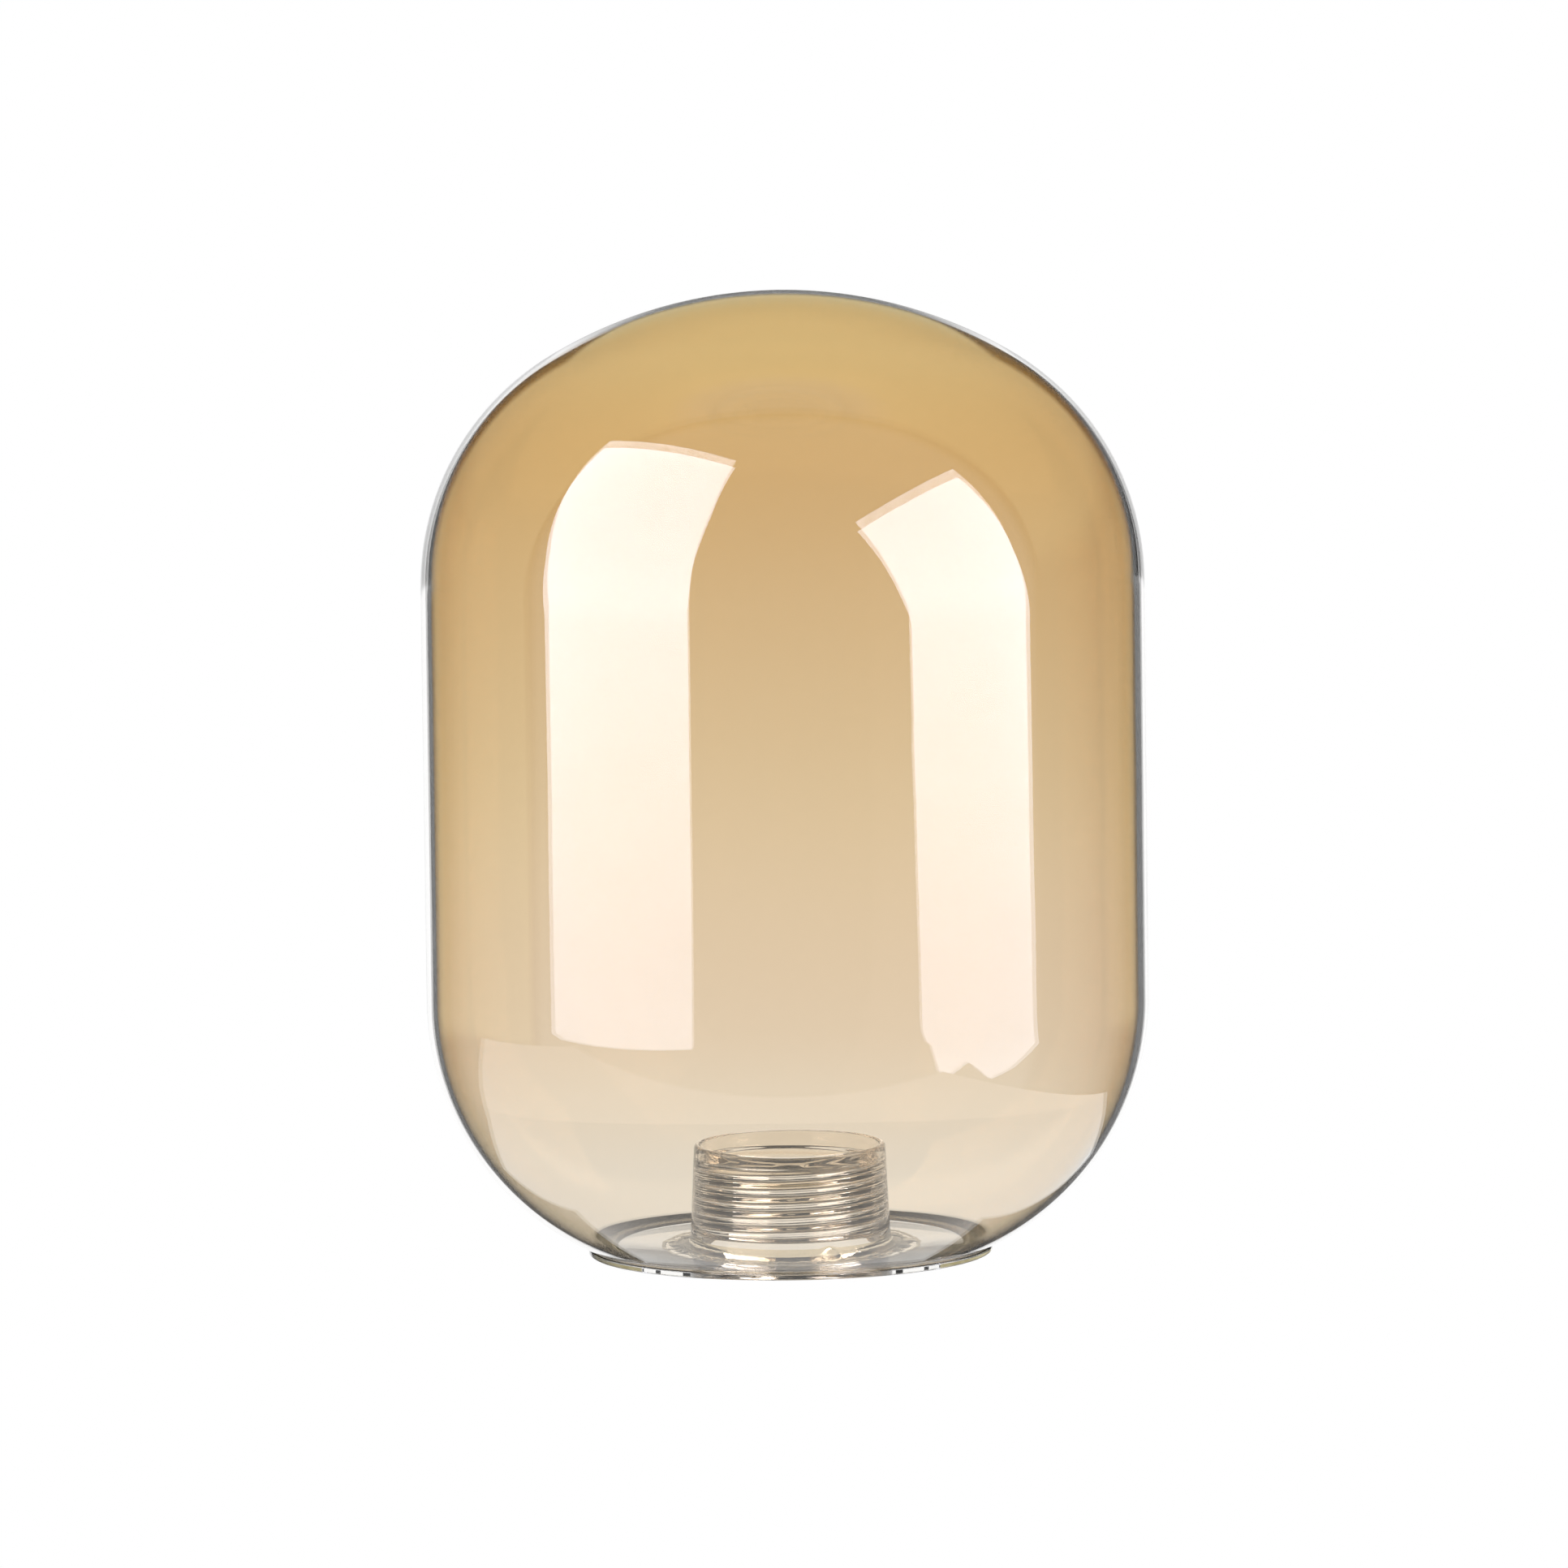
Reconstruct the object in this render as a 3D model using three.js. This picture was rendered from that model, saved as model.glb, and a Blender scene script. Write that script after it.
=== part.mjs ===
// A screw-on glass lampshade: a blown capsule globe closed by a flat clear disc,
// with an internally threaded glass collar that stands up inside the globe.
// Millimetres, +Z up along the axis of the shade, origin at the centre of its flat underside.

import * as THREE from 'three';

// ---- driving dimensions -------------------------------------------------------------------

// Globe
const GLOBE_RADIUS = 50;
const OVERALL_HEIGHT = 133.5;
const GLOBE_WALL = 1.4;
const CROWN_WALL = 0.5;         // the blown wall thins over the shoulder to this at the crown
const CROWN_RADIUS = 62.4;      // radius of the shallow dome on top
const SHOULDER_RADIUS = 36.6;   // radius of the bend between the dome and the straight side
const HEEL_HEIGHT = 34.3;       // height of the lower bend, from the globe's lip to the straight side
const LIP_OUTER_RADIUS = 27.8;  // the ground lip that stands on the disc
const LIP_INNER_RADIUS = 25.0;

// Base disc
const DISC_RADIUS = 28.0;
const DISC_THICKNESS = 0.9;
const DISC_EDGE_BEVEL = 0.2;

// Threaded collar
const COLLAR_HEIGHT = 15.1;
const COLLAR_RIM_RADIUS = 13.3;  // outside, at the rim
const COLLAR_FOOT_RADIUS = 13.9; // outside, at the foot
const COLLAR_FOOT_LAND = 2.6;    // straight stretch of the outside that the disc and its bead grip
const COLLAR_RIM_ROUNDING = 0.5;
const THREAD_MAJOR_RADIUS = 12.5;
const THREAD_MINOR_RADIUS = 11.6;
const THREAD_PITCH = 2.0;
const THREAD_TURNS = 5.2;
const THREAD_RIM_GAP = 1.2;      // plain bore between the rim and the first turn
const BORE_MOUTH_FLARE = 0.5;    // the mouth opens by this much at the underside

// Bonding beads
const COLLAR_BEAD_RADIUS = 18.5; // how far the bead spreads over the disc
const COLLAR_BEAD_HEIGHT = 1.5;
const RIM_BEAD_WIDTH = 0.9;      // over the disc, inward from the lip
const RIM_BEAD_HEIGHT = 0.6;

// Clearances
const BOND_GAP = 0.05;           // film between bonded faces that curve around each other

// Facets
const TURN_FACETS = 48;
const BEND_STEPS = 7;
const BEAD_STEPS = 4;
const THREAD_ROWS_PER_TURN = 6;

// ---- outlines, as points (radius, height) -------------------------------------------------

function arc(centreR, centreZ, radius, fromAngle, toAngle, steps) {
  const points = [];
  for (let i = 0; i <= steps; i++) {
    const angle = THREE.MathUtils.lerp(fromAngle, toAngle, i / steps);
    points.push(new THREE.Vector2(
      centreR + radius * Math.cos(angle),
      centreZ + radius * Math.sin(angle),
    ));
  }
  return points;
}

// The ring that an outline sweeps out, turned so that its axis is Z.
// The outline runs up its outside and down its inside, so the faces point out.
function turned(outline, facets = TURN_FACETS) {
  const geometry = new THREE.LatheGeometry(outline, facets);
  geometry.rotateX(Math.PI / 2);
  return geometry;
}

// One skin of the globe, from its lip up to the apex. The lower bend is the arc that leaves
// the straight side tangentially and meets the disc at the lip.
function globeSkin(sideInset, crownInset, lipRadius) {
  const sideRadius = GLOBE_RADIUS - sideInset;
  const apexZ = OVERALL_HEIGHT - crownInset;
  const crownRadius = CROWN_RADIUS - crownInset;
  const shoulderRadius = SHOULDER_RADIUS - sideInset;

  const heelRun = sideRadius - lipRadius;
  const heelRadius = (heelRun ** 2 + HEEL_HEIGHT ** 2) / (2 * heelRun);
  const heelZ = DISC_THICKNESS + HEEL_HEIGHT;
  const heelAngle = -Math.asin(HEEL_HEIGHT / heelRadius);

  const shoulderR = sideRadius - shoulderRadius;
  const crownZ = apexZ - crownRadius;
  const shoulderRise = Math.sqrt((crownRadius - shoulderRadius) ** 2 - shoulderR ** 2);
  const shoulderZ = crownZ + shoulderRise;
  const blendAngle = Math.atan2(shoulderRise, shoulderR);

  const heel = arc(sideRadius - heelRadius, heelZ, heelRadius, heelAngle, 0, BEND_STEPS);
  const shoulder = arc(shoulderR, shoulderZ, shoulderRadius, 0, blendAngle, BEND_STEPS);
  const crown = arc(0, crownZ, crownRadius, blendAngle, Math.PI / 2, BEND_STEPS).slice(1);
  heel[0].set(lipRadius, DISC_THICKNESS);
  crown[crown.length - 1].set(0, apexZ);
  return [...heel, ...shoulder, ...crown];
}

function globeShell() {
  const outside = globeSkin(0, 0, LIP_OUTER_RADIUS);
  const inside = globeSkin(GLOBE_WALL, CROWN_WALL, LIP_INNER_RADIUS);
  return turned([...inside.reverse(), ...outside]);
}

function baseDisc() {
  const holeRadius = COLLAR_FOOT_RADIUS + BOND_GAP;
  const bevelRadius = DISC_RADIUS - DISC_EDGE_BEVEL;
  const outline = [
    new THREE.Vector2(holeRadius, 0),
    new THREE.Vector2(bevelRadius, 0),
    new THREE.Vector2(DISC_RADIUS, DISC_EDGE_BEVEL),
    new THREE.Vector2(DISC_RADIUS, DISC_THICKNESS - DISC_EDGE_BEVEL),
    new THREE.Vector2(bevelRadius, DISC_THICKNESS),
    new THREE.Vector2(holeRadius, DISC_THICKNESS),
    new THREE.Vector2(holeRadius, 0),
  ];
  return turned(outline);
}

// Depth of the round-topped, right-hand thread ridge at a height and an angle about +Z.
// It fades in and out over half a pitch at the ends of the threaded stretch.
function ridgeDepth(z, angle, threadBottom, threadTop) {
  const fade = THREE.MathUtils.smoothstep(Math.min(z - threadBottom, threadTop - z), 0, THREAD_PITCH / 2);
  const phase = 2 * Math.PI * z / THREAD_PITCH - angle;
  return (THREAD_MAJOR_RADIUS - THREAD_MINOR_RADIUS) * fade * (0.5 + 0.5 * Math.cos(phase));
}

function threadedCollar() {
  const threadTop = COLLAR_HEIGHT - COLLAR_RIM_ROUNDING - THREAD_RIM_GAP;
  const threadBottom = threadTop - THREAD_TURNS * THREAD_PITCH;
  const rows = Math.round(THREAD_TURNS * THREAD_ROWS_PER_TURN);
  const rounding = COLLAR_RIM_ROUNDING;

  const outline = [
    new THREE.Vector2(COLLAR_FOOT_RADIUS, 0),
    new THREE.Vector2(COLLAR_FOOT_RADIUS, COLLAR_FOOT_LAND),
    ...arc(COLLAR_RIM_RADIUS - rounding, COLLAR_HEIGHT - rounding, rounding, 0, Math.PI / 2, 2),
    new THREE.Vector2(THREAD_MAJOR_RADIUS, COLLAR_HEIGHT),
  ];
  for (let row = 0; row <= rows; row++) {
    const z = THREE.MathUtils.lerp(threadTop, threadBottom, row / rows);
    outline.push(new THREE.Vector2(THREAD_MAJOR_RADIUS, z));
  }
  outline.push(new THREE.Vector2(THREAD_MAJOR_RADIUS, BORE_MOUTH_FLARE));
  outline.push(new THREE.Vector2(THREAD_MAJOR_RADIUS + BORE_MOUTH_FLARE, 0));
  outline.push(outline[0].clone());

  const geometry = turned(outline);
  const position = geometry.attributes.position;
  const onBore = 1e-3;
  for (let i = 0; i < position.count; i++) {
    const x = position.getX(i);
    const y = position.getY(i);
    const z = position.getZ(i);
    const radius = Math.hypot(x, y);
    const inThread = z > threadBottom && z < threadTop;
    if (!inThread || radius > THREAD_MAJOR_RADIUS + onBore) continue;
    const crest = 1 - ridgeDepth(z, Math.atan2(y, x), threadBottom, threadTop) / radius;
    position.setXY(i, x * crest, y * crest);
  }
  return geometry;
}

// A fillet of bonding resin that climbs the collar's foot and thins out over the disc.
function collarBondRing() {
  const innerRadius = COLLAR_FOOT_RADIUS + BOND_GAP;
  const reach = COLLAR_BEAD_RADIUS - innerRadius;
  const outline = [];
  for (let i = 0; i <= BEAD_STEPS; i++) {
    const angle = (Math.PI / 2) * i / BEAD_STEPS;
    outline.push(new THREE.Vector2(
      COLLAR_BEAD_RADIUS - reach * Math.sin(angle),
      DISC_THICKNESS + COLLAR_BEAD_HEIGHT * (1 - Math.cos(angle)),
    ));
  }
  outline.push(new THREE.Vector2(innerRadius, DISC_THICKNESS));
  outline.push(outline[0].clone());
  return turned(outline);
}

// A bead of the same resin in the corner where the globe's inside meets the disc.
function rimBondRing() {
  const wall = globeSkin(GLOBE_WALL, CROWN_WALL, LIP_INNER_RADIUS);
  const [foot, next] = wall;
  const climb = RIM_BEAD_HEIGHT / (next.y - foot.y);
  const top = foot.clone().lerp(next, climb);
  const outline = [
    new THREE.Vector2(foot.x - RIM_BEAD_WIDTH, DISC_THICKNESS),
    new THREE.Vector2(foot.x - BOND_GAP, DISC_THICKNESS),
    new THREE.Vector2(top.x - BOND_GAP, top.y),
    new THREE.Vector2(foot.x - RIM_BEAD_WIDTH / 2, top.y - RIM_BEAD_HEIGHT / 4),
    new THREE.Vector2(foot.x - RIM_BEAD_WIDTH, DISC_THICKNESS),
  ];
  return turned(outline);
}

// ---- assembly -----------------------------------------------------------------------------

const amberGlass = { color: 0xd9b57a, roughness: 0.03, metalness: 0 };
const clearGlass = { color: 0xf2efe8, roughness: 0.03, metalness: 0 };
const clearResin = { color: 0xe6dfcb, roughness: 0.15, metalness: 0 };

const pieces = [
  ['globe_shell', globeShell(), amberGlass],
  ['base_disc', baseDisc(), clearGlass],
  ['threaded_collar', threadedCollar(), clearGlass],
  ['collar_bond_ring', collarBondRing(), clearResin],
  ['rim_bond_ring', rimBondRing(), clearResin],
];

const shade = new THREE.Group();
for (const [name, geometry, finish] of pieces) {
  const mesh = new THREE.Mesh(geometry, new THREE.MeshStandardMaterial(finish));
  mesh.name = name;
  shade.add(mesh);
}

export default shade;
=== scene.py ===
"""A screw-on amber glass lampshade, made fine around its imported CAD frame.

The globe, the base disc, the threaded collar and the two beads of bonding resin are turned as
fine meshes with the small unevenness of blown and pressed glass. Each one replaces the CAD node
of its name. Metres, +Z up, origin at the centre of the flat underside.
"""

import math

import bpy
import numpy as np
from mathutils import Matrix, Vector, noise
from mathutils.geometry import tessellate_polygon


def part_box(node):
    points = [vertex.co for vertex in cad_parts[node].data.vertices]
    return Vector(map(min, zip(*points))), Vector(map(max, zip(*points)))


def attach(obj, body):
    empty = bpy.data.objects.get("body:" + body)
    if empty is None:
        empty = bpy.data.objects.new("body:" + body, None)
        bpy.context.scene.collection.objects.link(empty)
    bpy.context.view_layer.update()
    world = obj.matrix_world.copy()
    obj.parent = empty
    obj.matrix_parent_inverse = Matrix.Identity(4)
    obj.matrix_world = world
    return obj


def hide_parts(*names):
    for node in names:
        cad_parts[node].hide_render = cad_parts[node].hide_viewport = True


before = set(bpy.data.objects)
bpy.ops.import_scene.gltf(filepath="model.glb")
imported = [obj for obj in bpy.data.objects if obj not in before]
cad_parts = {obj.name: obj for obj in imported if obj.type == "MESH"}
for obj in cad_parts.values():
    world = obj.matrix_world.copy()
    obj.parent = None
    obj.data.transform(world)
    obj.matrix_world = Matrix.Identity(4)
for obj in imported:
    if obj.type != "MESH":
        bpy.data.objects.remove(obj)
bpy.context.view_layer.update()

MM = 0.001

# ---- sizes that the frame gives -------------------------------------------------------------

GLOBE_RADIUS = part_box("globe_shell")[1].x
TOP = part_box("globe_shell")[1].z
DISC_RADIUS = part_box("base_disc")[1].x
DISC_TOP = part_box("base_disc")[1].z
COLLAR_FOOT_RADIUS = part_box("threaded_collar")[1].x
COLLAR_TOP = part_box("threaded_collar")[1].z
BEAD_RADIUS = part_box("collar_bond_ring")[1].x
BEAD_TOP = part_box("collar_bond_ring")[1].z
RIM_BEAD_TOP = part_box("rim_bond_ring")[1].z

# ---- sizes inside the nodes, as the CAD has them --------------------------------------------

GLOBE_WALL = 1.4 * MM
CROWN_WALL = 0.5 * MM
CROWN_RADIUS = 62.4 * MM
SHOULDER_RADIUS = 36.6 * MM
HEEL_HEIGHT = 34.3 * MM
LIP_OUTER_RADIUS = 27.8 * MM
LIP_INNER_RADIUS = 25.0 * MM
COLLAR_RIM_RADIUS = 13.3 * MM
COLLAR_FOOT_LAND = 2.6 * MM
COLLAR_RIM_ROUNDING = 0.5 * MM
THREAD_MAJOR_RADIUS = 12.5 * MM
THREAD_MINOR_RADIUS = 11.6 * MM
THREAD_PITCH = 2.0 * MM
THREAD_TURNS = 5.2
THREAD_RIM_GAP = 1.2 * MM
BORE_MOUTH_FLARE = 0.5 * MM
RIM_BEAD_WIDTH = 0.9 * MM

# ---- sizes of the fine meshes ---------------------------------------------------------------

BOND_GAP = 0.03 * MM        # film between bonded pieces
DISC_BEVEL = 0.25 * MM
RIM_BEAD_BULGE = 0.16 * MM
FACETS = 256
BEAD_FACETS = 384           # the collar's bead has a finer crinkle
TINY = 1e-7                 # a shorter length counts as none


# ---- turned meshes --------------------------------------------------------------------------

def arc(centre_r, centre_z, radius, start, end, steps):
    """Points (radius, height) along an arc, both ends included."""
    angles = np.linspace(start, end, steps + 1)
    return [(centre_r + radius * math.cos(a), centre_z + radius * math.sin(a)) for a in angles]


def turned(name, outline, facets=FACETS, wobble=None):
    """A closed ring or cap swept round Z. The outline runs up its outside and down its inside.
    wobble(r, z, angle) gives the change in radius and height at a point."""
    rows = []
    vertices = []
    for r, z in outline:
        on_axis = r < TINY
        count = 1 if on_axis else facets
        rows.append((len(vertices), count))
        for j in range(count):
            angle = 2 * math.pi * j / facets
            dr, dz = wobble(r, z, angle) if wobble else (0.0, 0.0)
            radius = 0.0 if on_axis else r + dr
            vertices.append((radius * math.cos(angle), radius * math.sin(angle), z + dz))
    closed = outline[0][0] > TINY
    faces = []
    for i in range(len(rows) if closed else len(rows) - 1):
        (a, a_count), (b, b_count) = rows[i], rows[(i + 1) % len(rows)]
        for j in range(facets):
            k = (j + 1) % facets
            if a_count == 1:
                faces.append((a, b + k, b + j))
            elif b_count == 1:
                faces.append((a + j, a + k, b))
            else:
                faces.append((a + j, a + k, b + k, b + j))
    mesh = bpy.data.meshes.new(name)
    mesh.from_pydata(vertices, [], faces)
    mesh.update()
    piece = bpy.data.objects.new(name, mesh)
    bpy.context.scene.collection.objects.link(piece)
    mesh.shade_smooth()
    mesh.set_sharp_from_angle(angle=math.radians(40))
    return piece


def clamp(value):
    return min(max(value, 0.0), 1.0)


def waves(angle, z, layers):
    """Smooth noise on the surface of a cylinder. A layer is (height, scale, stretch in z, seed)."""
    total = 0.0
    for height, scale, stretch, seed in layers:
        around = Vector((math.cos(angle), math.sin(angle), stretch * z / GLOBE_RADIUS))
        total += height * noise.noise(around * scale + Vector((seed, 2 * seed, -seed)))
    return total


SKIN_STEPS = 40     # along each bend of the globe
BLOWN_DEPTH = 0.035 * MM
BLOWN_FADE = 12 * MM
BLOWN_WAVES = [(0.35, 2.2, 1, 3.1), (0.15, 6.0, 1, 7.7)]


def globe_skin(side_inset, crown_inset, lip_radius):
    """One skin of the globe from its lip to the apex."""
    side = GLOBE_RADIUS - side_inset
    apex = TOP - crown_inset
    crown = CROWN_RADIUS - crown_inset
    shoulder = SHOULDER_RADIUS - side_inset
    run = side - lip_radius
    heel = (run ** 2 + HEEL_HEIGHT ** 2) / (2 * run)
    lip_z = DISC_TOP + BOND_GAP
    heel_z = lip_z + HEEL_HEIGHT
    heel_angle = -math.asin(HEEL_HEIGHT / heel)
    shoulder_r = side - shoulder
    crown_z = apex - crown
    rise = math.sqrt((crown - shoulder) ** 2 - shoulder_r ** 2)
    blend = math.atan2(rise, shoulder_r)
    shoulder_z = crown_z + rise
    points = arc(side - heel, heel_z, heel, heel_angle, 0, SKIN_STEPS)
    points += [(side, z) for z in np.linspace(heel_z, shoulder_z, SKIN_STEPS)[1:-1]]
    points += arc(shoulder_r, shoulder_z, shoulder, 0, blend, SKIN_STEPS)
    points += arc(0, crown_z, crown, blend, math.pi / 2, SKIN_STEPS)[1:]
    points[-1] = (0.0, apex)
    return points


def blown(r, z, angle):
    """Blown glass is never quite round: broad, shallow hollows, none at the lip or the apex."""
    fade = clamp(min(z - DISC_TOP, TOP - z) / BLOWN_FADE)
    return -BLOWN_DEPTH * fade * (0.5 + waves(angle, z, BLOWN_WAVES)), 0.0


def make_globe():
    """The globe's inner skin takes the second material, for its amber stain."""
    outside = globe_skin(0.0, 0.0, LIP_OUTER_RADIUS)
    inside = globe_skin(GLOBE_WALL, CROWN_WALL, LIP_INNER_RADIUS)
    piece = turned("amber_globe", inside[::-1] + outside, wobble=blown)
    inner_faces = (len(inside) - 1) * FACETS
    for face in piece.data.polygons[:inner_faces]:
        face.material_index = 1
    return piece


def make_disc():
    hole = COLLAR_FOOT_RADIUS + BOND_GAP
    bend = DISC_RADIUS - DISC_BEVEL
    outline = [(hole, 0.0), (bend, 0.0)]
    outline += arc(bend, DISC_BEVEL, DISC_BEVEL, -math.pi / 2, 0, 4)[1:]
    outline += arc(bend, DISC_TOP - DISC_BEVEL, DISC_BEVEL, 0, math.pi / 2, 4)
    outline += [(hole, DISC_TOP)]
    return turned("clear_base_disc", outline)


THREAD_TOP = COLLAR_TOP - COLLAR_RIM_ROUNDING - THREAD_RIM_GAP
THREAD_BOTTOM = THREAD_TOP - THREAD_TURNS * THREAD_PITCH
LAND_ROWS = 6
WALL_ROWS = 24
BORE_ROWS = 150
PRESSED_DEPTH = 0.035 * MM
PRESSED_WAVES = [(0.6, 5.0, 1, 1.3), (0.4, 9.0, 6, 5.9)]


def pressed(r, z, angle):
    """The right-hand thread ridge in the bore, and the soft ripple of a pressed wall."""
    dr = 0.0
    inside_bore = r < THREAD_MAJOR_RADIUS + TINY
    if inside_bore and THREAD_BOTTOM < z < THREAD_TOP:
        end = clamp(min(z - THREAD_BOTTOM, THREAD_TOP - z) / (THREAD_PITCH / 2))
        fade = end * end * (3 - 2 * end)
        ridge = 0.5 + 0.5 * math.cos(2 * math.pi * z / THREAD_PITCH - angle)
        dr -= (THREAD_MAJOR_RADIUS - THREAD_MINOR_RADIUS) * fade * ridge
    clear_of_fits = clamp((z - COLLAR_FOOT_LAND / 2) / COLLAR_FOOT_LAND)
    dr += PRESSED_DEPTH * clear_of_fits * (waves(angle, z, PRESSED_WAVES) - 0.5)
    return dr, 0.0


def make_collar():
    rounding = COLLAR_RIM_ROUNDING
    rim_z = COLLAR_TOP - rounding
    outline = [(COLLAR_FOOT_RADIUS, z) for z in np.linspace(0, COLLAR_FOOT_LAND, LAND_ROWS)]
    for step in np.linspace(0, 1, WALL_ROWS)[1:-1]:
        outline.append((
            COLLAR_FOOT_RADIUS + (COLLAR_RIM_RADIUS - COLLAR_FOOT_RADIUS) * step,
            COLLAR_FOOT_LAND + (rim_z - COLLAR_FOOT_LAND) * step,
        ))
    outline += arc(COLLAR_RIM_RADIUS - rounding, rim_z, rounding, 0, math.pi / 2, 6)
    inner = rounding / 2
    outline += arc(THREAD_MAJOR_RADIUS + inner, COLLAR_TOP - inner, inner, math.pi / 2, math.pi, 4)
    mouth = BORE_MOUTH_FLARE
    for z in np.linspace(THREAD_TOP + THREAD_RIM_GAP / 2, mouth, BORE_ROWS):
        outline.append((THREAD_MAJOR_RADIUS, z))
    outline.append((THREAD_MAJOR_RADIUS + mouth * 0.3, mouth * 0.3))
    outline.append((THREAD_MAJOR_RADIUS + mouth, 0.0))
    return turned("threaded_glass_collar", outline, wobble=pressed)


CRINKLE = 0.35 * MM
CRINKLE_FROM = 0.35     # share of the bead's width that is smooth, next to the collar
CRINKLE_RISE = 0.25
CRINKLE_WAVES = [(1.0, 12.0, 3, 4.4), (0.6, 26.0, 8, 8.8)]
LOBE_WAVES = [(0.5, 4.0, 1, 9.2), (0.3, 14.0, 1, 2.6)]
NUB_ANGLE = math.radians(-68)
NUB_WIDTH = 0.9 * MM
NUB_HEIGHT = 0.9 * MM


def squeezed_out(r, z, angle):
    """The bead's uneven surface, and one nub where the resin was cut off."""
    inner = COLLAR_FOOT_RADIUS + BOND_GAP
    out = max((r - inner) / (BEAD_RADIUS - inner), 0.0)
    if z < DISC_TOP + 2 * BOND_GAP:
        return -2.4 * CRINKLE * out ** 2 * (0.5 + waves(angle, 0, LOBE_WAVES)), 0.0
    height = (z - DISC_TOP) / (BEAD_TOP - DISC_TOP)
    rough = waves(angle, r, CRINKLE_WAVES)
    crinkled = clamp((out - CRINKLE_FROM) / CRINKLE_RISE)
    dr = -1.2 * CRINKLE * out * (0.6 + 0.4 * rough * crinkled)
    dz = CRINKLE * (0.3 + height) * crinkled * (rough - 0.6)
    aside = ((angle - NUB_ANGLE + math.pi) % (2 * math.pi) - math.pi) * r / NUB_WIDTH
    beyond = (r - inner - NUB_WIDTH) / NUB_WIDTH
    return dr, dz + NUB_HEIGHT * math.exp(-aside ** 2 - beyond ** 2)


def make_collar_bead():
    inner = COLLAR_FOOT_RADIUS + BOND_GAP
    reach = BEAD_RADIUS - inner
    base = DISC_TOP + BOND_GAP
    outline = []
    for a in np.linspace(0, math.pi / 2, 22):
        climb = (BEAD_TOP - base) * (1 - math.cos(a))
        outline.append((BEAD_RADIUS - reach * math.sin(a), base + climb))
    outline.append((inner, base))
    outline += [(r, base) for r in np.linspace(inner, BEAD_RADIUS, 8)[1:-1]]
    return turned("collar_resin_bead", outline, BEAD_FACETS, squeezed_out)


def make_rim_bead():
    foot_z = DISC_TOP + BOND_GAP
    reach_r = LIP_INNER_RADIUS - RIM_BEAD_WIDTH
    wall = globe_skin(GLOBE_WALL, CROWN_WALL, LIP_INNER_RADIUS)
    climb = [point for point in wall if point[1] < RIM_BEAD_TOP]
    outline = [(reach_r, foot_z), (LIP_INNER_RADIUS - BOND_GAP, foot_z)]
    outline += [(r - BOND_GAP, z) for r, z in climb[1:]]
    top_r, top_z = outline[-1]
    for t in np.linspace(0, 1, 8)[1:-1]:
        bulge = RIM_BEAD_BULGE * math.sin(math.pi * t)
        r = top_r + (reach_r - top_r) * t - bulge
        outline.append((r, top_z + (foot_z - top_z) * t + bulge))
    return turned("rim_resin_bead", outline)


# ---- materials ------------------------------------------------------------------------------

GLASS_IOR = 1.47
RESIN_IOR = 1.5
RIPPLE_DISTANCE = 0.2 * MM

# The tint of one wall by height, as a share of the globe's height, from foot to crown.
AMBER = [
    (0.00, (0.945, 0.900, 0.830)),
    (0.13, (0.940, 0.882, 0.783)),
    (0.19, (0.910, 0.815, 0.690)),
    (0.30, (0.898, 0.790, 0.650)),
    (0.40, (0.900, 0.788, 0.627)),
    (0.49, (0.875, 0.757, 0.577)),
    (0.62, (0.855, 0.718, 0.520)),
    (0.74, (0.834, 0.680, 0.462)),
    (0.84, (0.813, 0.632, 0.380)),
    (0.92, (0.850, 0.700, 0.450)),
    (1.00, (0.890, 0.760, 0.490)),
]
AMBER_DRIFT = 0.02      # how far the stain wanders up and down, as a share of the height
SLANT_GAIN = 3.0
SLANT_POWER = 4.0


def node(tree, kind, **values):
    made = tree.nodes.new(kind)
    for name, value in values.items():
        if name in made.inputs:
            made.inputs[name].default_value = value
        else:
            setattr(made, name, value)
    return made


def glass(name, tint, ior):
    """A clear Principled glass, with its node tree and its shader."""
    material = bpy.data.materials.new(name)
    material.use_nodes = True
    tree = material.node_tree
    shader = tree.nodes["Principled BSDF"]
    shader.inputs["Base Color"].default_value = (*tint, 1)
    shader.inputs["Roughness"].default_value = 0.0
    shader.inputs["IOR"].default_value = ior
    shader.inputs["Transmission Weight"].default_value = 1.0
    return material, tree, shader


def rippled_glass(name, tint, ior, scale, strength, stretch=(1, 1, 1)):
    """A clear glass with a fine procedural ripple in its surface."""
    material, tree, shader = glass(name, tint, ior)
    link = tree.links.new
    place = node(tree, "ShaderNodeTexCoord")
    turn = node(tree, "ShaderNodeMapping", Scale=stretch)
    noisy = node(tree, "ShaderNodeTexNoise", Scale=scale, Detail=2.0, Roughness=0.45)
    bump = node(tree, "ShaderNodeBump", Strength=strength, Distance=RIPPLE_DISTANCE)
    link(place.outputs["Object"], turn.inputs["Vector"])
    link(turn.outputs["Vector"], noisy.inputs["Vector"])
    link(noisy.outputs["Fac"], bump.inputs["Height"])
    link(bump.outputs["Normal"], shader.inputs["Normal"])
    return material


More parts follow.
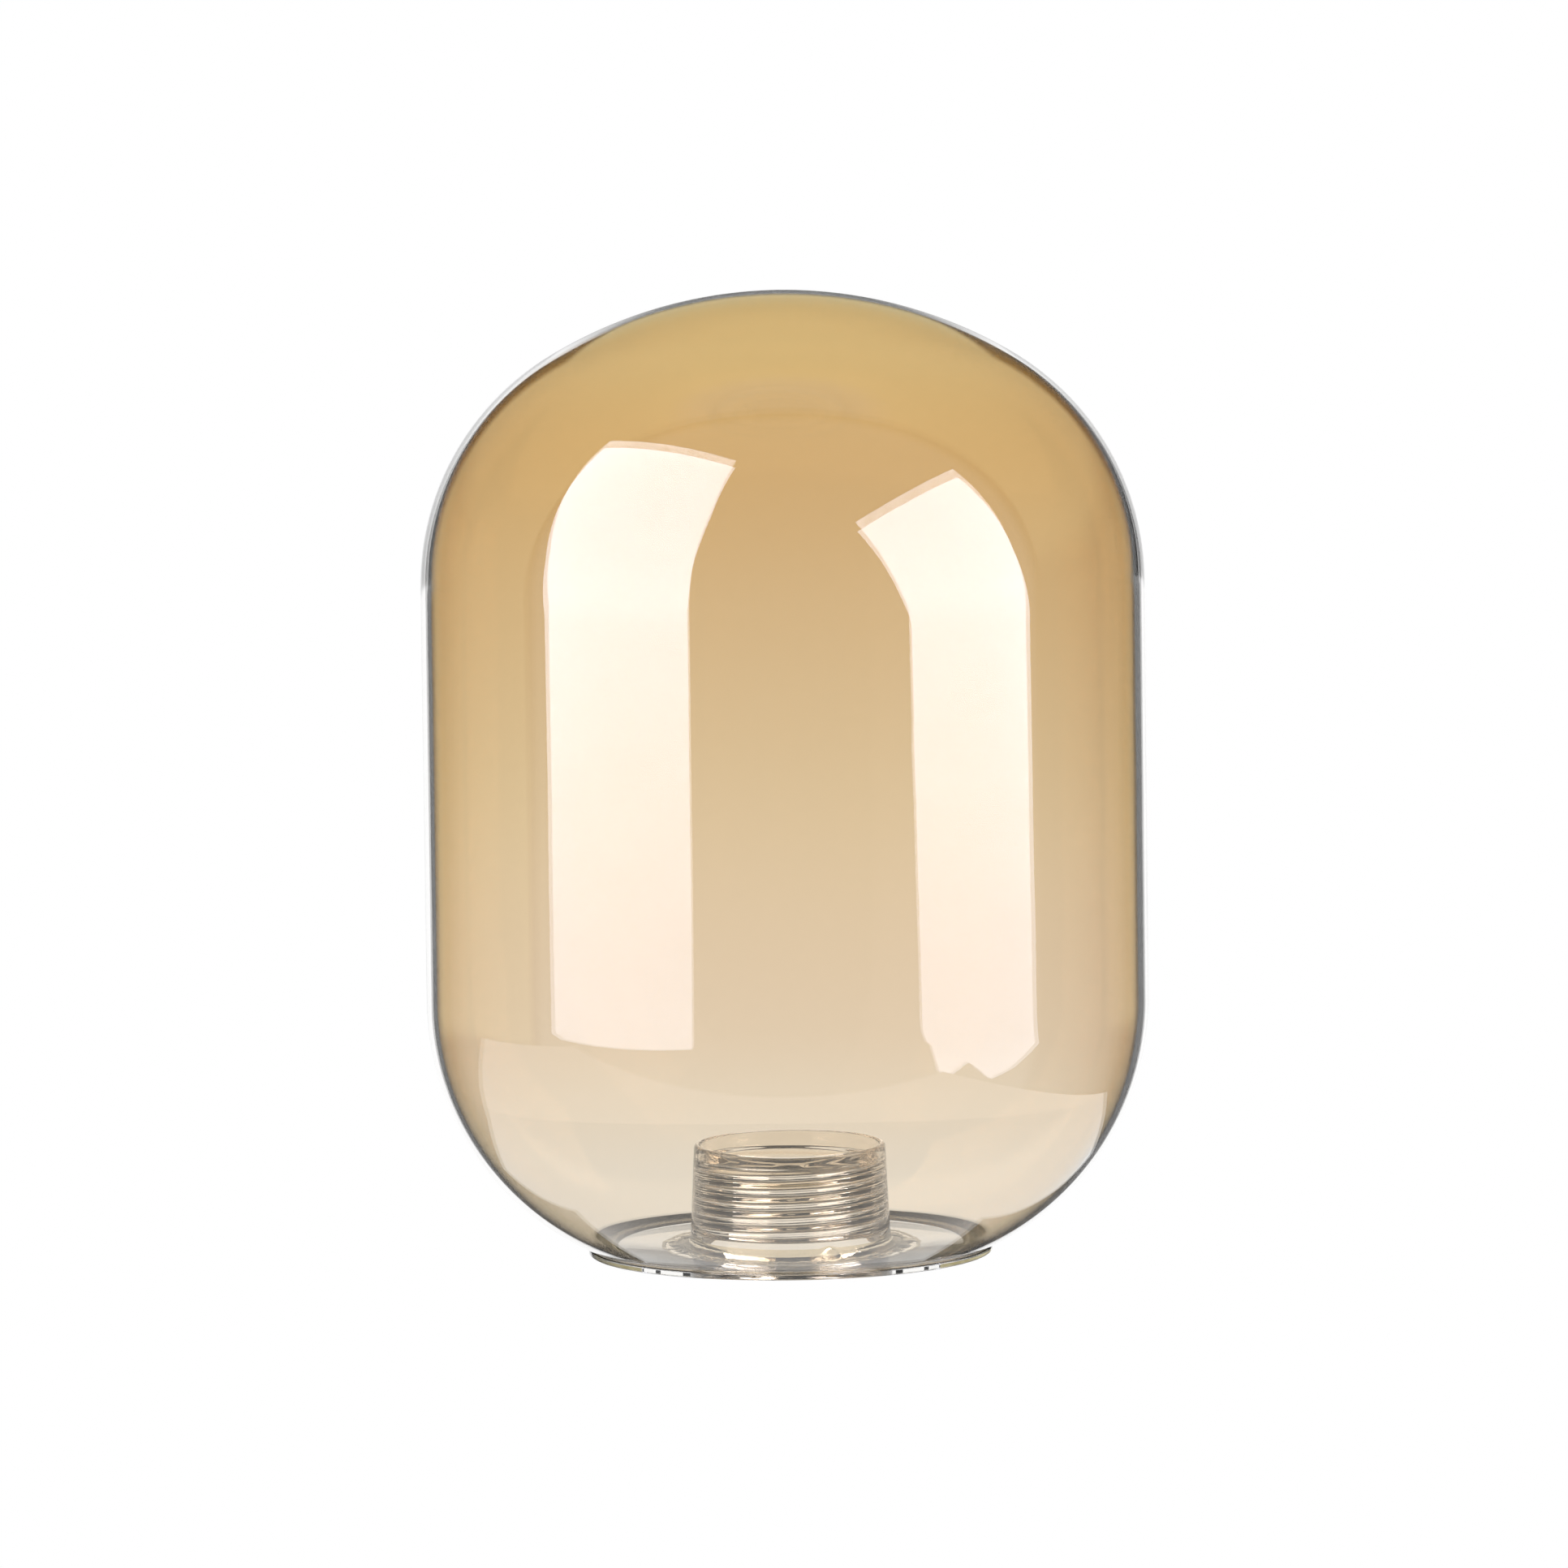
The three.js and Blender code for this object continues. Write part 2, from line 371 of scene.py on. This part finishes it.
def amber_stain():
    """The transparent stain inside the globe. All of the globe's colour is in this one skin."""
    material, tree, shader = glass("amber_stain", AMBER[4][1], GLASS_IOR)
    link = tree.links.new
    place = node(tree, "ShaderNodeTexCoord")
    height = node(tree, "ShaderNodeSeparateXYZ")
    share = node(tree, "ShaderNodeMapRange")
    share.inputs["From Min"].default_value = 0.0
    share.inputs["From Max"].default_value = TOP
    drift = node(tree, "ShaderNodeTexNoise", Scale=22.0, Detail=1.0)
    vary = node(tree, "ShaderNodeMapRange")
    vary.inputs["To Min"].default_value = -AMBER_DRIFT
    vary.inputs["To Max"].default_value = AMBER_DRIFT
    add = node(tree, "ShaderNodeMath", operation="ADD")
    ramp = node(tree, "ShaderNodeValToRGB")
    stops = ramp.color_ramp.elements
    for position, _ in AMBER[1:-1]:
        stops.new(position)
    # A glass shader gives one skin the square root of its colour, so the tints are squared here.
    for stop, (position, tint) in zip(sorted(stops, key=lambda e: e.position), AMBER):
        stop.position = position
        stop.color = (*(c * c for c in tint), 1)
    ramp.color_ramp.interpolation = "B_SPLINE"
    link(place.outputs["Object"], height.inputs["Vector"])
    link(height.outputs["Z"], share.inputs["Value"])
    link(place.outputs["Object"], drift.inputs["Vector"])
    link(drift.outputs["Fac"], vary.inputs["Value"])
    link(share.outputs["Result"], add.inputs[0])
    link(vary.outputs["Result"], add.inputs[1])
    link(add.outputs["Value"], ramp.inputs["Fac"])
    # A slanting ray has more stain to pass, so the tint deepens towards the outline.
    slant = node(tree, "ShaderNodeLayerWeight", Blend=0.5)
    steepen = node(tree, "ShaderNodeMath", operation="POWER")
    steepen.inputs[1].default_value = SLANT_POWER
    gain = node(tree, "ShaderNodeMath", operation="MULTIPLY")
    gain.inputs[1].default_value = SLANT_GAIN
    deepen = node(tree, "ShaderNodeMix", data_type="RGBA", blend_type="MULTIPLY")
    link(slant.outputs["Facing"], steepen.inputs[0])
    link(steepen.outputs["Value"], gain.inputs[0])
    link(gain.outputs["Value"], deepen.inputs[0])
    link(ramp.outputs["Color"], deepen.inputs[6])
    link(ramp.outputs["Color"], deepen.inputs[7])
    link(deepen.outputs[2], shader.inputs["Base Color"])
    return material


# ---- assembly -------------------------------------------------------------------------------

def place(piece, materials, slot, replaced):
    for material in materials:
        piece.data.materials.append(material)
    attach(piece, "root")
    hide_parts(replaced)


blown_glass = rippled_glass("blown_glass", (0.99, 0.985, 0.975), GLASS_IOR, 30.0, 0.05)
clear_glass = rippled_glass("clear_glass", (0.975, 0.965, 0.945), GLASS_IOR, 60.0, 0.15)
pressed_glass = rippled_glass(
    "pressed_glass", (0.92, 0.87, 0.79), GLASS_IOR, 180.0, 0.04, stretch=(1, 1, 2.5))
clear_resin = rippled_glass("clear_resin", (0.86, 0.79, 0.64), RESIN_IOR, 500.0, 0.2)

place(make_globe(), [blown_glass, amber_stain()], "amber_glass", "globe_shell")
place(make_disc(), [clear_glass], "clear_glass", "base_disc")
place(make_collar(), [pressed_glass], "pressed_glass", "threaded_collar")
place(make_collar_bead(), [clear_resin], "clear_resin", "collar_bond_ring")
place(make_rim_bead(), [clear_resin], "clear_resin", "rim_bond_ring")

# ---- studio: shared by the panels and the world ---------------------------------------------

MIDDLE = Vector((0, 0, TOP / 2))
DARK = 0.01

# The studio's lights tell rays apart by how many surfaces they have met. Below the first depth
# is what the wall nearest the eye mirrors, up to the second is light straight through the
# globe, and beyond the last is light that has been through the collar as well.
FRONT_WALL_DEPTH = 3.5
STRAIGHT_DEPTH = 4.5
CAVITY_DEPTH = 7.5
WORLD_EXTRA = 1     # a ray that meets nothing counts one more than one that meets a panel


def emitter(name, strength, tint=(1, 1, 1)):
    """A glowing stage material, with its node tree and its emission node."""
    material = bpy.data.materials.new(name)
    material.use_nodes = True
    tree = material.node_tree
    tree.nodes.clear()
    glow = node(tree, "ShaderNodeEmission", Color=(*tint, 1), Strength=strength)
    out = node(tree, "ShaderNodeOutputMaterial")
    tree.links.new(glow.outputs["Emission"], out.inputs["Surface"])
    return material, tree, glow


def clear_where(tree, glow, share):
    """Make an emitter clear to light by a share of 0 to 1."""
    clear = node(tree, "ShaderNodeBsdfTransparent")
    choose = node(tree, "ShaderNodeMixShader")
    out = next(n for n in tree.nodes if n.bl_idname == "ShaderNodeOutputMaterial")
    tree.links.new(share, choose.inputs[0])
    tree.links.new(glow.outputs[0], choose.inputs[1])
    tree.links.new(clear.outputs[0], choose.inputs[2])
    tree.links.new(choose.outputs[0], out.inputs["Surface"])


def seen_by(thing, camera=False, glossy=False, transmission=False):
    thing.visible_camera = camera
    thing.visible_glossy = glossy
    thing.visible_transmission = transmission
    thing.visible_diffuse = camera
    thing.visible_shadow = False


def panel(name, corners, material, faces=None):
    """A stage panel: one flat face, unless the faces are given."""
    mesh = bpy.data.meshes.new(name)
    mesh.from_pydata(corners, [], faces or [tuple(range(len(corners)))])
    mesh.materials.append(material)
    thing = bpy.data.objects.new(name, mesh)
    bpy.context.scene.collection.objects.link(thing)
    return thing


def rectangle(x0, x1, y0, y1, z):
    return [(x0, y0, z), (x1, y0, z), (x1, y1, z), (x0, y1, z)]


def smooth_step(tree, value, low, high, to_low=0.0, to_high=1.0):
    step = node(tree, "ShaderNodeMapRange", interpolation_type="SMOOTHSTEP")
    step.inputs["From Min"].default_value = low
    step.inputs["From Max"].default_value = high
    step.inputs["To Min"].default_value = to_low
    step.inputs["To Max"].default_value = to_high
    tree.links.new(value, step.inputs["Value"])
    return step.outputs["Result"]


def math_node(tree, operation, a, b=None):
    made = node(tree, "ShaderNodeMath", operation=operation)
    for i, value in enumerate((a, b)):
        if value is None:
            continue
        if isinstance(value, (int, float)):
            made.inputs[i].default_value = value
        else:
            tree.links.new(value, made.inputs[i])
    return made.outputs["Value"]


def mix(tree, factor, a, b):
    """A colour between a and b, which are colours, grey levels or sockets."""
    made = node(tree, "ShaderNodeMix", data_type="RGBA")
    for index, value in ((0, factor), (6, a), (7, b)):
        if isinstance(value, bpy.types.NodeSocket):
            tree.links.new(value, made.inputs[index])
        elif isinstance(value, tuple):
            made.inputs[index].default_value = (*value, 1)
        elif index:
            made.inputs[index].default_value = (value, value, value, 1)
        else:
            made.inputs[index].default_value = value
    return made.outputs[2]


def band(tree, value, rise, fall):
    """1 between two soft edges, each given as (start, end), and 0 beyond them."""
    risen = smooth_step(tree, value, *rise)
    return math_node(tree, "MULTIPLY", risen, smooth_step(tree, value, *fall, 1.0, 0.0))


# ---- studio: softboxes ----------------------------------------------------------------------

# Corners of the two window-like softboxes, in degrees (azimuth, elevation).
LEFT_SOFTBOX = [
    (-29.8, -10.8), (-54.8, -11.4), (-79, -9.6), (-79.2, -6.7), (-81, 13), (-86, 31), (-93, 51),
    (-61.6, 59.5), (-23.7, 60), (-26, 37.4), (-28.6, 17.5), (-29.5, -6.6),
]
RIGHT_SOFTBOX = [
    (50.4, -24.3), (59, -17.5), (69.2, -23.7), (77, -20), (85.6, -13), (83.4, -6.8), (79.4, 14.5),
    (75.7, 43), (57.7, 42.1), (26, 31.6), (31.5, 19.5), (38, -0.2), (42, -9.1), (45.1, -11.1),
]
SOFTBOX_DISTANCE = 0.9
SOFTBOX_STEPS = 12             # cells along each side of the triangles that a softbox is cut into
SOFTBOX_TINT = (0.78, 0.80, 0.93)
SOFTBOX_FOOT = 4.4             # strength at the foot of the softboxes, and from their middle up
SOFTBOX_HEAD = 9.8
SOFTBOX_FALL = (-0.09, 0.03)   # heights between which the strength rises
SOFTBOX_DEEP = 0.8             # strength for light that has crossed the globe's cavity
SOFTBOX_COLLAR = 8.0           # strength for light that has been through the collar as well
SKIMMING_LENGTH = 0.868        # light that skims the globe has run farther than this


def towards(azimuth, elevation, distance):
    """A point seen from the shade's middle. Azimuth 0 is the front, and 90 the right side."""
    a, e = math.radians(azimuth), math.radians(elevation)
    level = math.cos(e)
    return MIDDLE + distance * Vector((math.sin(a) * level, -math.cos(a) * level, math.sin(e)))


def softbox_material():
    """Bright in the wall nearest the eye, and dim for light that has crossed the cavity.
    It is clear to light that goes straight through the globe or only skims its edge."""
    material, tree, glow = emitter("softbox_light", SOFTBOX_HEAD, SOFTBOX_TINT)
    spot = node(tree, "ShaderNodeNewGeometry")
    split = node(tree, "ShaderNodeSeparateXYZ")
    rays = node(tree, "ShaderNodeLightPath")
    depth = rays.outputs["Ray Depth"]
    tree.links.new(spot.outputs["Position"], split.inputs["Vector"])
    near_glow = smooth_step(tree, split.outputs["Z"], *SOFTBOX_FALL, SOFTBOX_FOOT, SOFTBOX_HEAD)
    crossed = math_node(tree, "GREATER_THAN", depth, FRONT_WALL_DEPTH)
    collared = math_node(tree, "GREATER_THAN", depth, CAVITY_DEPTH)
    deep_glow = mix(tree, collared, SOFTBOX_DEEP, SOFTBOX_COLLAR)
    tree.links.new(mix(tree, crossed, near_glow, deep_glow), glow.inputs["Strength"])
    not_past = math_node(tree, "LESS_THAN", depth, STRAIGHT_DEPTH)
    straight = math_node(tree, "MULTIPLY", crossed, not_past)
    far = math_node(tree, "GREATER_THAN", rays.outputs["Ray Length"], SKIMMING_LENGTH)
    mirrored = math_node(tree, "LESS_THAN", depth, FRONT_WALL_DEPTH)
    skims = math_node(tree, "MULTIPLY", far, mirrored)
    clear_where(tree, glow, math_node(tree, "MAXIMUM", straight, skims))
    return material


def make_softbox(name, outline, material):
    """A softbox bent round the shade's middle, so that all of it is equally far."""
    corners = [towards(a, e, SOFTBOX_DISTANCE) for a, e in outline]
    points = []
    faces = []
    for triangle in tessellate_polygon([corners]):
        a, b, c = (corners[i] - MIDDLE for i in triangle)
        index = {}
        for i in range(SOFTBOX_STEPS + 1):
            for j in range(SOFTBOX_STEPS + 1 - i):
                spot = a * (SOFTBOX_STEPS - i - j) + b * i + c * j
                index[i, j] = len(points)
                points.append(MIDDLE + spot.normalized() * SOFTBOX_DISTANCE)
        for i in range(SOFTBOX_STEPS):
            for j in range(SOFTBOX_STEPS - i):
                faces.append((index[i, j], index[i + 1, j], index[i, j + 1]))
                if i + j + 2 <= SOFTBOX_STEPS:
                    faces.append((index[i + 1, j], index[i + 1, j + 1], index[i, j + 1]))
    box = panel(name, points, material, faces)
    seen_by(box, glossy=True, transmission=True)


# ---- studio: floor and boards ---------------------------------------------------------------

FLOOR_Z = -0.3 * MM
FLOOR_REACH = 8
WHITE_BOARD_GLOW = 0.85
# The white board's outline in mm. Its far edge bends round the shade from left to right.
WHITE_BOARD = [
    (-220, -100), (-220, 60), (-103, 21), (-77, 10), (-54, 7), (-36, -18), (31, -21), (41, -4),
    (56, 25), (90, 30), (90, -100),
]
BACK_BOARD = (-0.22, 0.22, -0.10, 0.12)
BACK_BOARD_GLOW = 0.97
# Light that has been through the collar sees the back board white only between these depths
# into the scene, and under the bore.
BACK_BOARD_LIT = (0.035, 0.07)
BORE_LIGHT = 0.016


def back_board_material():
    """White for light that has crossed the cavity, and clear for what the nearest wall mirrors."""
    material, tree, glow = emitter("back_board", BACK_BOARD_GLOW)
    spot = node(tree, "ShaderNodeNewGeometry")
    split = node(tree, "ShaderNodeSeparateXYZ")
    reach = node(tree, "ShaderNodeVectorMath", operation="LENGTH")
    depth = node(tree, "ShaderNodeLightPath").outputs["Ray Depth"]
    tree.links.new(spot.outputs["Position"], split.inputs["Vector"])
    tree.links.new(spot.outputs["Position"], reach.inputs[0])
    y = split.outputs["Y"]
    lit_from, lit_to = BACK_BOARD_LIT
    distant = math_node(tree, "GREATER_THAN", y, lit_to)
    outside_bore = math_node(tree, "GREATER_THAN", reach.outputs["Value"], BORE_LIGHT)
    close = math_node(tree, "MULTIPLY", outside_bore, math_node(tree, "LESS_THAN", y, lit_from))
    hidden = math_node(tree, "MAXIMUM", distant, close)
    collared = math_node(tree, "GREATER_THAN", depth, CAVITY_DEPTH)
    shade = math_node(tree, "MULTIPLY", collared, hidden)
    tree.links.new(mix(tree, shade, BACK_BOARD_GLOW, DARK), glow.inputs["Color"])
    clear_where(tree, glow, math_node(tree, "LESS_THAN", depth, FRONT_WALL_DEPTH))
    return material


def make_boards():
    edges = (-FLOOR_REACH, FLOOR_REACH, -FLOOR_REACH, FLOOR_REACH)
    floor = panel("floor", rectangle(*edges, FLOOR_Z), emitter("pale_floor", 1.0)[0])
    seen_by(floor, camera=True)
    outline = [(x * MM, y * MM, FLOOR_Z / 2) for x, y in WHITE_BOARD]
    board = panel("white_board", outline, emitter("white_board", WHITE_BOARD_GLOW)[0])
    seen_by(board, glossy=True, transmission=True)
    back_board = panel("back_board", rectangle(*BACK_BOARD, FLOOR_Z / 3), back_board_material())
    seen_by(back_board, transmission=True)


# ---- studio: world --------------------------------------------------------------------------

# Directions are given as unit vectors, so a height is the sine of an elevation. Pairs are the
# ends of a soft edge.

# The pale backdrop: one white panel in each 45 degrees, and a dark gap to the right of it.
PANEL_STEP = math.radians(45)
GAP_START = math.radians(15)
GAP_END = math.radians(25)
GAP_FADE = math.radians(0.7)
GAP_FLOOR = (-0.65, -0.55)      # below this the floor is pale all round
PANEL_TOP = (0.20, 0.24)

# What the wall nearest the eye mirrors. Straight ahead is a white disc in a dark ring, and the
# disc's crest is cut off where the crown's wall is too thin to show it.
AHEAD = Vector((0, 0.9929, -0.1193))
DISC_LEFT = math.radians(20)
DISC_RIGHT = math.radians(17)
DISC_SIDES = (-0.05, 0.05)
CREST = (-0.06, 0.12)
CREST_SLOPE = 2.0
CREST_SHRINK = math.radians(13)
RING_END = (math.radians(27), math.radians(34))
IN_FRONT = (-0.1, 0.0)
FRONT_LEVEL = 0.4

# Beyond the ring is a warm wall to the left and overhead, and a dim one to the right.
WARM = (0.60, 0.53, 0.30)
OVERHEAD = (0.40, 0.45, 0.50)
OVERHEAD_EDGE = (0.90, 0.97)
HIGH_EDGE = (0.0, 0.25)
LEFT_EDGE = (-0.15, 0.0)
LEFT_TURN = (math.radians(-85), math.radians(-45))
LEFT_LEVELS = (1.5, 0.75)
RIGHT_TURN = (math.radians(42), math.radians(64))
RIGHT_LEVELS = (0.6, 0.12)
LOW_EDGE = (-0.20, -0.13)
LOW_LEVEL = 0.25
BEHIND = (-0.01, 0.03)

# What light sees after it has crossed the cavity, and after it has been through the collar:
# for the collar, the floor and one narrow panel in each 45 degrees.
DEEP_EDGE = (math.radians(40), math.radians(50))
DEEP_LEVEL = 0.45
COLLAR_PANEL = math.radians(6)
COLLAR_HIGH = (0.09, 0.12)
COLLAR_LOW = (-0.85, -0.75)


def backdrop(tree, z, in_step):
    start = (GAP_START - GAP_FADE, GAP_START + GAP_FADE)
    end = (GAP_END - GAP_FADE, GAP_END + GAP_FADE)
    gap = math_node(tree, "MULTIPLY", band(tree, in_step, start, end), band(tree, z, GAP_FLOOR, PANEL_TOP))
    return mix(tree, gap, 1.0, DARK)


def warm_room(tree, x, y, z, azimuth):
    right = smooth_step(tree, azimuth, *RIGHT_TURN, *RIGHT_LEVELS)
    left = smooth_step(tree, azimuth, *LEFT_TURN, *LEFT_LEVELS)
    left = math_node(tree, "MULTIPLY", smooth_step(tree, x, *LEFT_EDGE, 1.0, 0.0), left)
    low = smooth_step(tree, z, *LOW_EDGE, LOW_LEVEL, 1.0)
    walls = math_node(tree, "MULTIPLY", math_node(tree, "MAXIMUM", right, left), low)
    warmth = math_node(tree, "MAXIMUM", walls, smooth_step(tree, z, *HIGH_EDGE))
    warmth = math_node(tree, "MULTIPLY", warmth, smooth_step(tree, y, *BEHIND))
    overhead = smooth_step(tree, z, *OVERHEAD_EDGE)
    return mix(tree, warmth, DARK, mix(tree, overhead, WARM, OVERHEAD))


def mirrored_room(tree, x, y, z, azimuth):
    """The disc, the ring and the room around them, for the wall nearest the eye."""
    along_y = math_node(tree, "MULTIPLY", y, AHEAD.y)
    along_z = math_node(tree, "MULTIPLY", z, AHEAD.z)
    ahead = math_node(tree, "ADD", along_y, along_z)
    turn = math_node(tree, "ARCCOSINE", math_node(tree, "MINIMUM", ahead, 1.0))
    sideways = math_node(tree, "MULTIPLY", math_node(tree, "ABSOLUTE", x), CREST_SLOPE)
    lift = math_node(tree, "SUBTRACT", z, AHEAD.z)
    crest = smooth_step(tree, math_node(tree, "SUBTRACT", lift, sideways), *CREST)
    edge = smooth_step(tree, x, *DISC_SIDES, DISC_LEFT, DISC_RIGHT)
    past_edge = math_node(tree, "SUBTRACT", turn, edge)
    lit = smooth_step(tree, past_edge, -GAP_FADE, GAP_FADE, 1.0, 0.0)
    lit = math_node(tree, "MULTIPLY", lit, math_node(tree, "SUBTRACT", 1.0, crest))
    disc = mix(tree, lit, DARK, 1.0)
    shrink = math_node(tree, "MULTIPLY", crest, CREST_SHRINK)
    in_room = smooth_step(tree, math_node(tree, "ADD", turn, shrink), *RING_END)
    near = mix(tree, in_room, disc, warm_room(tree, x, y, z, azimuth))
    in_front = smooth_step(tree, y, *IN_FRONT, 1.0, 0.0)
    return mix(tree, in_front, near, FRONT_LEVEL)


def collar_room(tree, z, in_step):
    last = PANEL_STEP - COLLAR_PANEL
    start = (COLLAR_PANEL, COLLAR_PANEL + GAP_FADE)
    gap = band(tree, in_step, start, (last - GAP_FADE, last))
    hidden = math_node(tree, "MAXIMUM", gap, smooth_step(tree, z, *COLLAR_HIGH))
    hidden = math_node(tree, "MULTIPLY", hidden, smooth_step(tree, z, *COLLAR_LOW))
    return mix(tree, hidden, 1.0, DARK)


def make_world():
    world = bpy.data.worlds.new("studio")
    world.use_nodes = True
    bpy.context.scene.world = world
    tree = world.node_tree
    tree.nodes.clear()
    place = node(tree, "ShaderNodeTexCoord")
    split = node(tree, "ShaderNodeSeparateXYZ")
    tree.links.new(place.outputs["Generated"], split.inputs["Vector"])
    x, y, z = (split.outputs[c] for c in "XYZ")
    azimuth = math_node(tree, "ARCTAN2", x, y)
    in_step = math_node(tree, "FLOORED_MODULO", azimuth, PANEL_STEP)
    rays = node(tree, "ShaderNodeLightPath")
    depth = rays.outputs["Ray Depth"]
    after_wall = math_node(tree, "GREATER_THAN", depth, FRONT_WALL_DEPTH + WORLD_EXTRA)
    after_globe = math_node(tree, "GREATER_THAN", depth, STRAIGHT_DEPTH + WORLD_EXTRA)
    after_collar = math_node(tree, "GREATER_THAN", depth, CAVITY_DEPTH + WORLD_EXTRA)
    off_axis = math_node(tree, "ABSOLUTE", azimuth)
    deep = smooth_step(tree, off_axis, *DEEP_EDGE, 1.0, DEEP_LEVEL)
    deep = mix(tree, after_collar, deep, collar_room(tree, z, in_step))
    far = mix(tree, after_globe, backdrop(tree, z, in_step), deep)
    seen = mix(tree, after_wall, mirrored_room(tree, x, y, z, azimuth), far)
    seen = mix(tree, rays.outputs["Is Camera Ray"], seen, 1.0)
    background = node(tree, "ShaderNodeBackground")
    tree.links.new(seen, background.inputs["Color"])
    out = node(tree, "ShaderNodeOutputWorld")
    tree.links.new(background.outputs["Background"], out.inputs["Surface"])


softbox_light = softbox_material()
make_softbox("softbox_left", LEFT_SOFTBOX, softbox_light)
make_softbox("softbox_right", RIGHT_SOFTBOX, softbox_light)
make_boards()
make_world()

# ---- camera ---------------------------------------------------------------------------------

CAMERA_DISTANCE = 2.244
CAMERA_ELEVATION = math.radians(6.85)
CAMERA_ROLL = math.radians(0.716)
CAMERA_LENS = 372.7
CAMERA_SENSOR = 36
AIM_RIGHT = 0.15 * MM   # the shade stands this far left of the frame's centre
AIM_BELOW = 1.55 * MM   # and this far above it


def make_camera():
    data = bpy.data.cameras.new("camera")
    data.sensor_width = CAMERA_SENSOR
    data.lens = CAMERA_LENS
    camera = bpy.data.objects.new("camera", data)
    bpy.context.scene.collection.objects.link(camera)
    back = Vector((0, -math.cos(CAMERA_ELEVATION), math.sin(CAMERA_ELEVATION)))
    facing = (-back).to_track_quat("-Z", "Y").to_matrix()
    right, up = facing.col[0], facing.col[1]
    aim = MIDDLE - right * AIM_RIGHT - up * AIM_BELOW
    turn = facing @ Matrix.Rotation(-CAMERA_ROLL, 3, "Z")
    camera.matrix_world = Matrix.Translation(aim + back * CAMERA_DISTANCE) @ turn.to_4x4()
    bpy.context.scene.camera = camera


make_camera()

# Light has to pass both walls, the disc and the collar, and come back out.
GLASS_BOUNCES = 32
MIRROR_BOUNCES = 16

scene = bpy.context.scene
scene.view_settings.view_transform = "Standard"
scene.cycles.max_bounces = GLASS_BOUNCES
scene.cycles.transmission_bounces = GLASS_BOUNCES
scene.cycles.glossy_bounces = MIRROR_BOUNCES
scene.cycles.use_denoising = True
